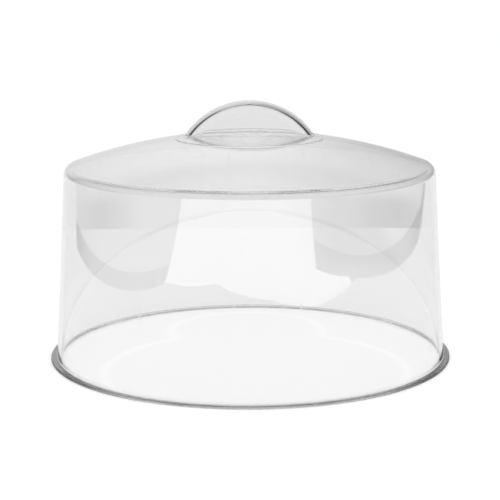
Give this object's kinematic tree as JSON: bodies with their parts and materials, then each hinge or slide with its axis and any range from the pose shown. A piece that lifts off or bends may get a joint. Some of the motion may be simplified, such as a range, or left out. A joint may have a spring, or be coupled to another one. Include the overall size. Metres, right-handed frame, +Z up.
{
  "type": "cake cover dome",
  "caption": "Clear low round dome with a resting lip and a hollow half-moon grip on its crown; covers a cake on a plate or stand.",
  "frame": {"origin": "centre of the lip's underside, on the surface that the dome stands on", "axes": "+Z up along the dome's axis, +X along the length of the half-moon grip, +Y away from the viewer who faces the grip's flank"},
  "size_m": [0.31, 0.31, 0.1974],
  "materials": {
    "clear_shell": "clear, polished as moulded",
    "clear_handle": "clear, polished as moulded"
  },
  "bodies": {
    "root": {"dome_shell": "clear_shell", "handle": "clear_handle"}
  },
  "joints": []
}
